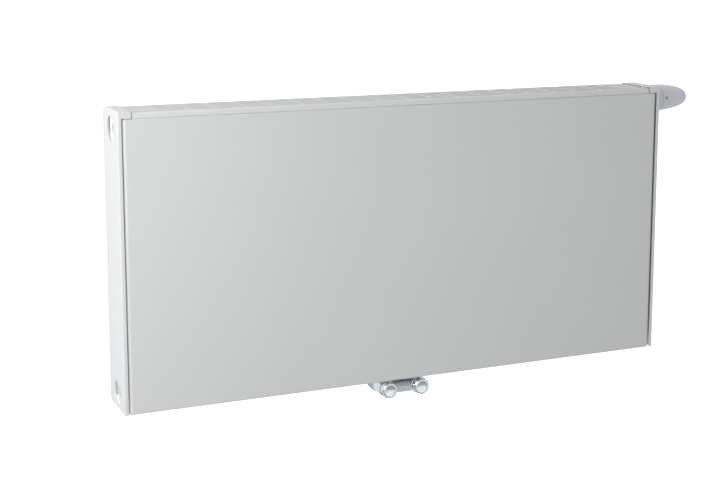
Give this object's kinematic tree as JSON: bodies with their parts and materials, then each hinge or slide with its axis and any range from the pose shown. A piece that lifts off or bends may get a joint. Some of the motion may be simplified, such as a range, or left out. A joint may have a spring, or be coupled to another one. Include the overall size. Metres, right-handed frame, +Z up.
{
  "type": "panel radiator",
  "caption": "Flat-fronted double panel wall radiator with side covers, top grille, thermostatic valve head and a bottom centre shut-off block.",
  "frame": {"origin": "middle of the four hanging lugs, on their wall side", "axes": "+X along the length towards the thermostatic head, +Y towards the wall, +Z up"},
  "size_m": [0.893, 0.082, 0.4312],
  "materials": {
    "plate_white": "satin powder coat",
    "cover_white": "satin powder coat",
    "panel_white": "powder coat",
    "spring_steel": "bright",
    "clip_plastic": "matte",
    "head_plastic": "satin",
    "nickel": "nickel plated",
    "brass": "machined",
    "polished_ball": "polished",
    "rubber_seal": "matte",
    "seat_ptfe": "smooth",
    "sensor_metal": "drawn"
  },
  "bodies": {
    "radiator": {"air_vent_plug": "brass", "air_vent_seal": "rubber_seal", "ball_seats": "seat_ptfe", "blind_plug_seals": "rubber_seal", "blind_plugs": "nickel", "convector_fins": "panel_white", "flow_nipple": "panel_white", "flow_pipe": "panel_white", "front_panel_back_sheet": "panel_white", "front_panel_face_sheet": "panel_white", "front_plate": "plate_white", "front_plate_brackets": "panel_white", "grille_clips": "spring_steel", "hanging_lugs": "panel_white", "head_base": "head_plastic", "head_union_ring": "nickel", "low_connector_left": "panel_white", "low_connector_right": "panel_white", "rear_panel_back_sheet": "panel_white", "rear_panel_face_sheet": "panel_white", "return_tee": "panel_white", "shutoff_block": "nickel", "side_cover_clips": "clip_plastic", "side_cover_left": "cover_white", "side_cover_right": "cover_white", "stem_glands": "brass", "top_grille": "cover_white", "union_gaskets": "rubber_seal", "union_nuts": "nickel", "valve_insert": "brass", "valve_insert_seal": "rubber_seal", "valve_spring": "spring_steel", "valve_tee": "panel_white", "vent_tee": "panel_white"},
    "head_dial": {"head_dial": "head_plastic"},
    "sensor": {"sensor_capsule": "sensor_metal", "sensor_pin": "spring_steel"},
    "valve_spindle": {"valve_spindle": "spring_steel", "valve_disc": "rubber_seal"},
    "vent_screw": {"vent_screw": "brass"},
    "flow_shutoff": {"flow_shutoff_ball": "polished_ball"},
    "return_shutoff": {"return_shutoff_ball": "polished_ball"},
    "flow_cap_seal": {"flow_cap_seal": "rubber_seal"},
    "return_cap_seal": {"return_cap_seal": "rubber_seal"},
    "flow_cap": {"flow_cap": "nickel"},
    "return_cap": {"return_cap": "nickel"}
  },
  "joints": [
    {"name": "dial_turn", "type": "hinge", "parent": "radiator", "child": "head_dial", "pos_m": [0.431, -0.042, 0.1785], "axis": [1, 0, 0], "range_deg": [-150, 150]},
    {"name": "sensor_travel", "type": "slide", "parent": "radiator", "child": "sensor", "axis": [1, 0, 0], "range_m": [-0.0014, 0.0014]},
    {"name": "spindle_travel", "type": "slide", "parent": "radiator", "child": "valve_spindle", "axis": [1, 0, 0], "range_m": [-0.0014, 0.0014], "deforming": ["valve_spring"]},
    {"name": "vent_screw_turn", "type": "hinge", "parent": "radiator", "child": "vent_screw", "pos_m": [-0.4, -0.042, 0.174], "axis": [-1, 0, 0], "range_deg": [0, 180]},
    {"name": "flow_shutoff_turn", "type": "hinge", "parent": "radiator", "child": "flow_shutoff", "pos_m": [-0.025, -0.042, -0.218], "axis": [0, -1, 0], "range_deg": [0, 90]},
    {"name": "flow_cap_travel", "type": "slide", "parent": "radiator", "child": "flow_cap_seal", "axis": [0, -1, 0], "range_m": [0, 0.0065]},
    {"name": "flow_cap_turn", "type": "hinge", "parent": "flow_cap_seal", "child": "flow_cap", "pos_m": [-0.025, -0.072, -0.218], "axis": [0, -1, 0], "range_deg": [0, 1440]},
    {"name": "return_shutoff_turn", "type": "hinge", "parent": "radiator", "child": "return_shutoff", "pos_m": [0.025, -0.042, -0.218], "axis": [0, -1, 0], "range_deg": [0, 90]},
    {"name": "return_cap_travel", "type": "slide", "parent": "radiator", "child": "return_cap_seal", "axis": [0, -1, 0], "range_m": [0, 0.0065]},
    {"name": "return_cap_turn", "type": "hinge", "parent": "return_cap_seal", "child": "return_cap", "pos_m": [0.025, -0.072, -0.218], "axis": [0, -1, 0], "range_deg": [0, 1440]}
  ],
  "couplings": [
    {"joint": "sensor_travel", "follows": "dial_turn", "m_per_rad": 0.00047746},
    {"joint": "spindle_travel", "follows": "dial_turn", "m_per_rad": 0.00047746},
    {"joint": "flow_cap_travel", "follows": "flow_cap_turn", "m_per_rad": 0.00023873},
    {"joint": "return_cap_travel", "follows": "return_cap_turn", "m_per_rad": 0.00023873}
  ]
}
